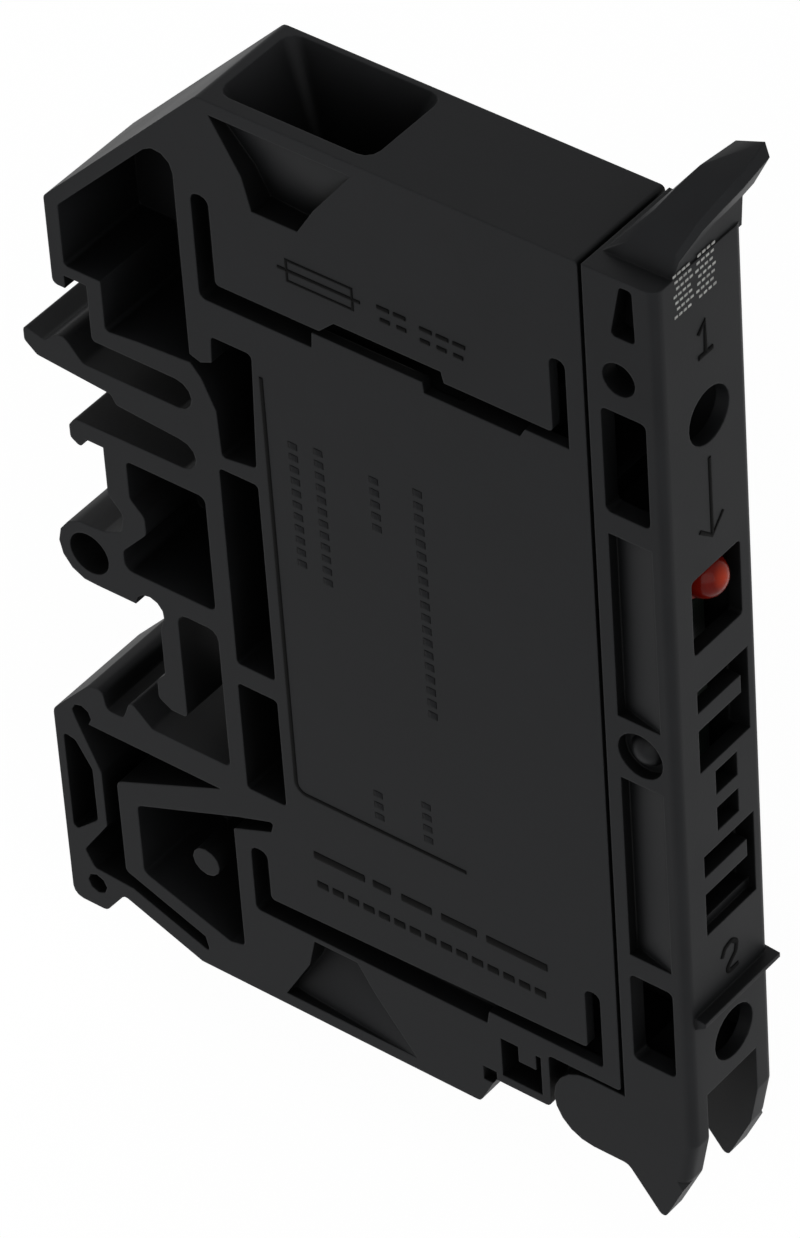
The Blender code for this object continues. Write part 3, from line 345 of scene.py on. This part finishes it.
def clear_glass(name):
    """The fuse's tube: clear, with faint streaks from drawing."""
    finish = Finish(name, {"Transmission Weight": 0.9, "IOR": 1.5})
    drawn = finish.streaks(GLASS_STRETCH, 150.0, 2.0)
    finish.feed("Base Color", finish.blend(drawn, (0.86, 0.92, 0.92), (0.95, 0.98, 0.97)))
    finish.feed("Roughness", finish.vary(drawn, 0.02, 0.07))
    return finish.material


def ink(name, colour):
    """Pad-printed ink, a little broken where the plastic's grain shows through."""
    finish = Finish(name, {"Specular IOR Level": 0.3})
    grain = finish.noise(5200.0, 3.0, 0.7)
    thin = tuple(0.45 * part for part in colour)
    finish.feed("Base Color", finish.blend(finish.spread(grain, 0.35, 0.6), thin, colour))
    finish.feed("Roughness", finish.vary(grain, 0.55, 0.75))
    finish.feed_bump(grain, 0.3, GRAIN_DEPTH)
    return finish.material


# Signs and threads, swept along their lines by Geometry Nodes


def sweep_tree(name, sizes):
    """A tree that ends in a swept, realized and painted mesh, and its input and sweep nodes."""
    tree = bpy.data.node_groups.new(name, "GeometryNodeTree")
    tree.interface.new_socket("Geometry", in_out="INPUT", socket_type="NodeSocketGeometry")
    for size in sizes:
        tree.interface.new_socket(size, in_out="INPUT", socket_type="NodeSocketFloat")
    tree.interface.new_socket("Material", in_out="INPUT", socket_type="NodeSocketMaterial")
    tree.interface.new_socket("Geometry", in_out="OUTPUT", socket_type="NodeSocketGeometry")
    given = tree.nodes.new("NodeGroupInput")
    result = tree.nodes.new("NodeGroupOutput")
    sweep = tree.nodes.new("GeometryNodeCurveToMesh")
    sweep.inputs["Fill Caps"].default_value = True
    realize = tree.nodes.new("GeometryNodeRealizeInstances")
    paint = tree.nodes.new("GeometryNodeSetMaterial")
    tree.links.new(sweep.outputs["Mesh"], realize.inputs["Geometry"])
    tree.links.new(realize.outputs["Geometry"], paint.inputs["Geometry"])
    tree.links.new(given.outputs["Material"], paint.inputs["Material"])
    tree.links.new(paint.outputs["Geometry"], result.inputs["Geometry"])
    return tree, given, sweep


def bead_tree():
    """A tree that sweeps a low rounded bead along the edges of a mesh."""
    tree, given, sweep = sweep_tree("raised_bead", ("Width", "Height", "Corner"))
    nodes, links = tree.nodes, tree.links
    line = nodes.new("GeometryNodeMeshToCurve")
    corner = nodes.new("GeometryNodeFilletCurve")
    corner.mode = "POLY"
    corner.inputs["Count"].default_value = CORNER_STEPS
    corner.inputs["Limit Radius"].default_value = True
    upright = nodes.new("GeometryNodeSetCurveNormal")
    upright.mode = "Z_UP"
    ring = nodes.new("GeometryNodeCurvePrimitiveCircle")
    ring.inputs["Resolution"].default_value = BEAD_SIDES
    ring.inputs["Radius"].default_value = 1.0
    size = nodes.new("ShaderNodeCombineXYZ")
    size.inputs["Z"].default_value = 1.0
    shape = nodes.new("GeometryNodeTransform")
    half = nodes.new("ShaderNodeMath")
    half.operation = "MULTIPLY"
    half.inputs[1].default_value = 0.5
    links.new(given.outputs["Geometry"], line.inputs["Mesh"])
    links.new(line.outputs["Curve"], corner.inputs["Curve"])
    links.new(given.outputs["Corner"], corner.inputs["Radius"])
    links.new(corner.outputs["Curve"], upright.inputs["Curve"])
    links.new(given.outputs["Width"], half.inputs[0])
    links.new(half.outputs["Value"], size.inputs["X"])
    links.new(given.outputs["Height"], size.inputs["Y"])
    links.new(ring.outputs["Curve"], shape.inputs["Geometry"])
    links.new(size.outputs["Vector"], shape.inputs["Scale"])
    links.new(upright.outputs["Curve"], sweep.inputs["Curve"])
    links.new(shape.outputs["Geometry"], sweep.inputs["Profile Curve"])
    return tree


def thread_tree():
    """A tree that sweeps a thin rod along a spiral, for the thread of a screw."""
    tree, given, sweep = sweep_tree("screw_thread", ("Radius", "Length", "Turns", "Thickness"))
    nodes, links = tree.nodes, tree.links
    spiral = nodes.new("GeometryNodeCurveSpiral")
    spiral.inputs["Resolution"].default_value = THREAD_STEPS
    ring = nodes.new("GeometryNodeCurvePrimitiveCircle")
    ring.inputs["Resolution"].default_value = THREAD_SIDES
    links.new(given.outputs["Turns"], spiral.inputs["Rotations"])
    links.new(given.outputs["Radius"], spiral.inputs["Start Radius"])
    links.new(given.outputs["Radius"], spiral.inputs["End Radius"])
    links.new(given.outputs["Length"], spiral.inputs["Height"])
    links.new(given.outputs["Thickness"], ring.inputs["Radius"])
    links.new(spiral.outputs["Curve"], sweep.inputs["Curve"])
    links.new(ring.outputs["Curve"], sweep.inputs["Profile Curve"])
    return tree


def lines_mesh(name, lines):
    """Lines of (u, v) millimetres as a mesh of edges. A line that ends where it starts is closed."""
    points, edges = [], []
    for line in lines:
        first = len(points)
        closed = line[0] == line[-1]
        kept = line[:-1] if closed else line
        points += [(u * MM, v * MM, 0.0) for u, v in kept]
        edges += [(first + i, first + i + 1) for i in range(len(kept) - 1)]
        if closed:
            edges.append((first + len(kept) - 1, first))
    mesh = bpy.data.meshes.new(name)
    mesh.from_pydata(points, edges, [])
    return mesh


def swept(tree, name, source, values, place, body):
    """Runs a tree on a source mesh, places the result, and makes it a piece that rides with a body."""
    draft = bpy.data.objects.new(name + "_draft", source)
    bpy.context.scene.collection.objects.link(draft)
    modifier = draft.modifiers.new("Sweep", "NODES")
    modifier.node_group = tree
    for item in tree.interface.items_tree:
        if item.in_out == "INPUT" and item.name in values:
            modifier[item.identifier] = values[item.name]
    graph = bpy.context.evaluated_depsgraph_get()
    mesh = bpy.data.meshes.new_from_object(draft.evaluated_get(graph))
    bpy.data.objects.remove(draft)
    mesh.transform(place)
    tidy = bmesh.new()
    tidy.from_mesh(mesh)
    bmesh.ops.recalc_face_normals(tidy, faces=tidy.faces)
    tidy.to_mesh(mesh)
    tidy.free()
    mesh.shade_smooth()
    piece = bpy.data.objects.new(name, mesh)
    bpy.context.scene.collection.objects.link(piece)
    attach(piece, body)


def raised(tree, name, lines, bead, face, material, corner=0.0):
    """A sign of low beads on one face of the block."""
    width, height = bead
    plane, body, slot = face
    values = {"Width": width * MM, "Height": height * MM, "Corner": corner * MM, "Material": material}
    swept(tree, name, lines_mesh(name, lines), values, plane, body)


def add_threads(material):
    """The thread of each clamp screw, which starts and ends one pitch inside its shank."""
    tree = thread_tree()
    for end in ("line", "load"):
        low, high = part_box(f"{end}_clamp_screw")
        length = high[1] - low[1] - HEAD_LENGTH - 2 * THREAD_PITCH
        start = (Vector(low) + Vector(high)) / 2
        start.y = low[1] + HEAD_LENGTH + THREAD_PITCH
        place = Matrix.Translation(start) @ Matrix.Rotation(-math.pi / 2, 4, "X")
        values = {
            "Radius": SHANK_RADIUS,
            "Length": length,
            "Turns": length / THREAD_PITCH,
            "Thickness": THREAD_RISE,
            "Material": material,
        }
        source = bpy.data.meshes.new(f"{end}_thread_source")
        swept(tree, f"{end}_screw_thread", source, values, place, f"{end}_screw")


def row_of_dashes(row, first, count, length, step=ROW_STEP):
    """Short dashes side by side, which stand where the block has small lettering."""
    starts = [first + i * step for i in range(count)]
    return [[(start, row), (start + length, row)] for start in starts]


def column_of_dashes(column, first, count, length=0.5, step=COLUMN_STEP):
    """Short upright dashes one under another, for lettering that is turned on its side."""
    starts = [first + i * step for i in range(count)]
    return [[(column, start), (column, start - length)] for start in starts]


def white_rows():
    """The two blocks of short dashes at the top of the lever."""
    rows = []
    for i in range(PRINT_ROWS):
        indent = PRINT_INDENT * (i % 3)
        row = PRINT_TOP - PRINT_ROW_STEP * i
        rows += row_of_dashes(row, -2.6 + indent, 4, PRINT_DASH, 0.44)
        rows += row_of_dashes(row, -0.2 - indent, 4, PRINT_DASH, 0.46)
    return rows


def add_signs():
    """The raised frame, fuse symbol, arrow, numerals and dashes of the flat side and the lever's front."""
    bead = bead_tree()
    # The beads are darker copies of the plastic: painted shade, so the signs read dark as shaded grooves
    # would
    shaded_mark = moulded("mark_black_painted_shade", (0.005, 0.005, 0.005), (0.013, 0.013, 0.013), 0.65, 0.03)
    faint_shaded_mark = moulded("faint_mark_black_painted_shade", (0.0105, 0.011, 0.012), (0.023, 0.023, 0.024), 0.6, 0.05)
    white = ink("white_ink", (0.6, 0.6, 0.58))

    frame = [[(13.5, 17.0), (13.5, -17.0), (27.1, -17.0)]]
    raised(bead, "side_frame", frame, FRAME_BEAD, SIDE, shaded_mark, FRAME_CORNER)
    tube = [(16.3, 25.8), (21.3, 25.8), (21.3, 27.4), (16.3, 27.4), (16.3, 25.8)]
    raised(bead, "fuse_symbol", [tube, [(15.6, 26.6), (21.9, 26.6)]], SYMBOL_BEAD, SIDE, shaded_mark)
    rating = row_of_dashes(26.9, 23.2, 2, 0.9) + row_of_dashes(26.0, 23.4, 2, 0.7)
    rating += row_of_dashes(26.7, 26.4, 3, 0.9) + row_of_dashes(25.8, 26.4, 3, 0.7)
    raised(bead, "rating_dashes", rating, RATING_BEAD, SIDE, shaded_mark)
    spans = [(14.5, 18.6), (19.3, 20.7), (21.6, 24.0), (24.8, 27.6), (28.4, 33.2)]
    broad = [[(start, -22.0), (stop, -22.0)] for start, stop in spans]
    raised(bead, "lower_dashes", broad, BROAD_BEAD, SIDE, shaded_mark)
    fine = row_of_dashes(-24.5, 14.6, 15, 0.85)
    raised(bead, "lower_fine_dashes", fine, FINE_BEAD, SIDE, shaded_mark)
    faint = column_of_dashes(15.6, 12.8, 11) + column_of_dashes(17.6, 13.2, 12)
    faint += column_of_dashes(21.9, 13.0, 5) + column_of_dashes(25.3, 13.6, 19, 0.55, -1.0)
    faint += column_of_dashes(20.3, -13.6, 3) + column_of_dashes(24.2, -12.6, 4)
    raised(bead, "side_faint_dashes", faint, FAINT_BEAD, SIDE, faint_shaded_mark)

    arrow = [[(0.15, 22.0), (0.15, 16.1)], [(-1.05, 17.0), (0.15, 15.95), (1.3, 17.15)]]
    raised(bead, "arrow", arrow, ARROW_BEAD, FRONT, shaded_mark)
    one = [[(-0.45, 31.6), (0.2, 32.3), (0.2, 29.9)], [(-0.5, 29.9), (0.9, 29.9)]]
    raised(bead, "numeral_one", one, NUMERAL_BEAD, FRONT, shaded_mark)
    hook = [(-0.6, -18.1), (-0.3, -17.5), (0.4, -17.3), (0.95, -17.8), (0.8, -18.5)]
    two = [hook + [(-0.6, -19.7), (1.0, -19.7)]]
    raised(bead, "numeral_two", two, NUMERAL_BEAD, FRONT, shaded_mark, NUMERAL_CORNER)
    raised(bead, "white_dashes", white_rows(), PRINT_BEAD, PRINTED_FRONT, white)


# Stage, light and camera


def glow_to_camera(tree, shade, glow_share):
    """A factor that is 1 for rays from the camera, a mirror or glass, times a share."""
    path = tree.nodes.new("ShaderNodeLightPath")
    either = tree.nodes.new("ShaderNodeMath")
    either.operation = "ADD"
    tree.links.new(path.outputs["Is Camera Ray"], either.inputs[0])
    tree.links.new(path.outputs["Is Glossy Ray"], either.inputs[1])
    total = tree.nodes.new("ShaderNodeMath")
    total.operation = "ADD"
    total.use_clamp = True
    tree.links.new(either.outputs[0], total.inputs[0])
    tree.links.new(path.outputs["Is Transmission Ray"], total.inputs[1])
    scaled = tree.nodes.new("ShaderNodeMath")
    scaled.operation = "MULTIPLY"
    scaled.inputs[1].default_value = glow_share
    tree.links.new(total.outputs[0], scaled.inputs[0])
    tree.links.new(scaled.outputs[0], shade)


def build_world():
    world = bpy.data.worlds.new("studio")
    bpy.context.scene.world = world
    world.use_nodes = True
    tree = world.node_tree
    tree.nodes.clear()
    output = tree.nodes.new("ShaderNodeOutputWorld")
    seen = tree.nodes.new("ShaderNodeBackground")
    seen.inputs["Color"].default_value = WHITE
    lit = tree.nodes.new("ShaderNodeBackground")
    lit.inputs["Color"].default_value = WHITE
    lit.inputs["Strength"].default_value = ROOM_LIGHT
    mix = tree.nodes.new("ShaderNodeMixShader")
    glow_to_camera(tree, mix.inputs[0], 1.0)
    tree.links.new(lit.outputs[0], mix.inputs[1])
    tree.links.new(seen.outputs[0], mix.inputs[2])
    tree.links.new(mix.outputs[0], output.inputs["Surface"])


def build_floor():
    mesh = bpy.data.meshes.new("floor")
    half = FLOOR_SIZE / 2
    corners = [(-half, -half), (half, -half), (half, half), (-half, half)]
    mesh.from_pydata([(x, y, FLOOR_Z) for x, y in corners], [], [(0, 1, 2, 3)])
    floor = bpy.data.objects.new("floor", mesh)
    bpy.context.scene.collection.objects.link(floor)
    material = bpy.data.materials.new("pale_floor")
    material.use_nodes = True
    tree = material.node_tree
    tree.nodes.clear()
    output = tree.nodes.new("ShaderNodeOutputMaterial")
    diffuse = tree.nodes.new("ShaderNodeBsdfDiffuse")
    diffuse.inputs["Color"].default_value = FLOOR_GREY
    glow = tree.nodes.new("ShaderNodeEmission")
    glow.inputs["Strength"].default_value = FLOOR_WHITE
    mix = tree.nodes.new("ShaderNodeMixShader")
    glow_to_camera(tree, mix.inputs[0], FLOOR_GLOW)
    tree.links.new(diffuse.outputs[0], mix.inputs[1])
    tree.links.new(glow.outputs[0], mix.inputs[2])
    tree.links.new(mix.outputs[0], output.inputs["Surface"])
    mesh.materials.append(material)


def build_key_light():
    """A large square lamp on the flat side, a little in front of the block."""
    light = bpy.data.lights.new("key", "AREA")
    light.size = KEY_SIZE
    light.energy = KEY_POWER
    lamp = bpy.data.objects.new("key", light)
    bpy.context.scene.collection.objects.link(lamp)
    direction = KEY_DIRECTION.normalized()
    lamp.location = direction * KEY_DISTANCE
    lamp.rotation_mode = "QUATERNION"
    lamp.rotation_quaternion = direction.to_track_quat("Z", "Y")


def build_camera():
    data = bpy.data.cameras.new("camera")
    data.sensor_width = SENSOR
    data.lens = FOCAL_PIXELS / IMAGE_HEIGHT * SENSOR
    data.clip_start = CLIP_START
    data.clip_end = CLIP_END
    camera = bpy.data.objects.new("camera", data)
    bpy.context.scene.collection.objects.link(camera)
    right, back = CAMERA_RIGHT.normalized(), CAMERA_BACK.normalized()
    up = back.cross(right).normalized()
    turn = Matrix((right, up, back)).transposed()
    camera.matrix_world = Matrix.Translation(CAMERA_PLACE) @ turn.to_4x4()
    bpy.context.scene.camera = camera


# The finished copies of the CAD nodes


def flat_areas(shape):
    """The area of the flat region that each face of a mesh belongs to."""
    areas = {}
    for face in shape.faces:
        if face in areas:
            continue
        region, todo = {face}, [face]
        while todo:
            current = todo.pop()
            for edge in current.edges:
                for other in edge.link_faces:
                    if other not in region and other.normal.dot(current.normal) > FLAT_COSINE:
                        region.add(other)
                        todo.append(other)
        total = sum(part.calc_area() for part in region)
        areas.update((part, total) for part in region)
    return areas


def round_normals(mesh):
    """Shades round faces smooth while the flats beside them keep their own normal."""
    shape = bmesh.new()
    shape.from_mesh(mesh)
    areas = flat_areas(shape)
    limit = math.cos(math.radians(SMOOTH_ANGLE))
    normals = []
    for face in shape.faces:
        for loop in face.loops:
            near = [other for other in loop.vert.link_faces if other.normal.dot(face.normal) > limit]
            total = Vector()
            for other in near:
                total += other.normal * areas[other]
            normals.append(total.normalized())
    shape.free()
    mesh.shade_smooth()
    mesh.normals_split_custom_set(normals)


def dress(frame, finishes):
    """Gives each CAD node its finish, on a welded copy whose round faces are shaded smooth."""
    for name, material in finishes.items():
        node = frame["nodes"][name]
        shape = bmesh.new()
        shape.from_mesh(node.data)
        bmesh.ops.remove_doubles(shape, verts=shape.verts, dist=WELD_DISTANCE)
        bmesh.ops.recalc_face_normals(shape, faces=shape.faces)
        mesh = bpy.data.meshes.new(name + "_smooth")
        shape.to_mesh(mesh)
        shape.free()
        mesh.transform(node.matrix_world)
        round_normals(mesh)
        mesh.materials.append(material)
        piece = bpy.data.objects.new(name + "_finished", mesh)
        bpy.context.scene.collection.objects.link(piece)
        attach(piece, node["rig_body"])
        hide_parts(name)


def main():
    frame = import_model()
    bpy.context.scene.view_settings.view_transform = "Standard"

    housing_black = moulded("housing_black", (0.011, 0.0115, 0.0125), (0.03, 0.031, 0.033), 0.5)
    cover_black = moulded("cover_black", (0.011, 0.0115, 0.0125), (0.03, 0.031, 0.033), 0.52)
    lever_black = moulded("lever_black", (0.010, 0.0105, 0.0115), (0.028, 0.029, 0.031), 0.48)
    nickel = plated("nickel_caps", (0.55, 0.53, 0.48), (0.78, 0.76, 0.7), 0.14)
    tinned = plated("tinned_copper", (0.6, 0.57, 0.5), (0.8, 0.77, 0.7), 0.2)
    brass = plated("leaf_brass", (0.62, 0.45, 0.18), (0.82, 0.64, 0.32), 0.2)
    zinc = plated("zinc_steel", (0.3, 0.3, 0.29), (0.5, 0.5, 0.48), 0.32)
    # The lens's second colour is its painted highlight
    red = lens("red_lens", (0.085, 0.0015, 0.001), (0.5, 0.05, 0.018))
    dress(
        frame,
        {
            "housing": housing_black,
            "side_cover": cover_black,
            "lever": lever_black,
            "fuse_tube": clear_glass("fuse_glass"),
            "fuse_cap_line": nickel,
            "fuse_cap_load": nickel,
            "fuse_element": tinned,
            "indicator_board": laminate("green_laminate"),
            "indicator_resistor": moulded("resistor_black", (0.01, 0.01, 0.01), (0.04, 0.04, 0.04), 0.4),
            "indicator_lamp": red,
            "indicator_contact_line": brass,
            "indicator_contact_load": brass,
            "line_current_bar": tinned,
            "load_current_bar": tinned,
            "line_fuse_contact": tinned,
            "load_fuse_contact": tinned,
            "line_clamp_screw": zinc,
            "load_clamp_screw": zinc,
            "line_clamp_yoke": zinc,
            "load_clamp_yoke": zinc,
        },
    )

    add_signs()
    add_threads(zinc)

    build_world()
    build_floor()
    build_key_light()
    build_camera()


main()
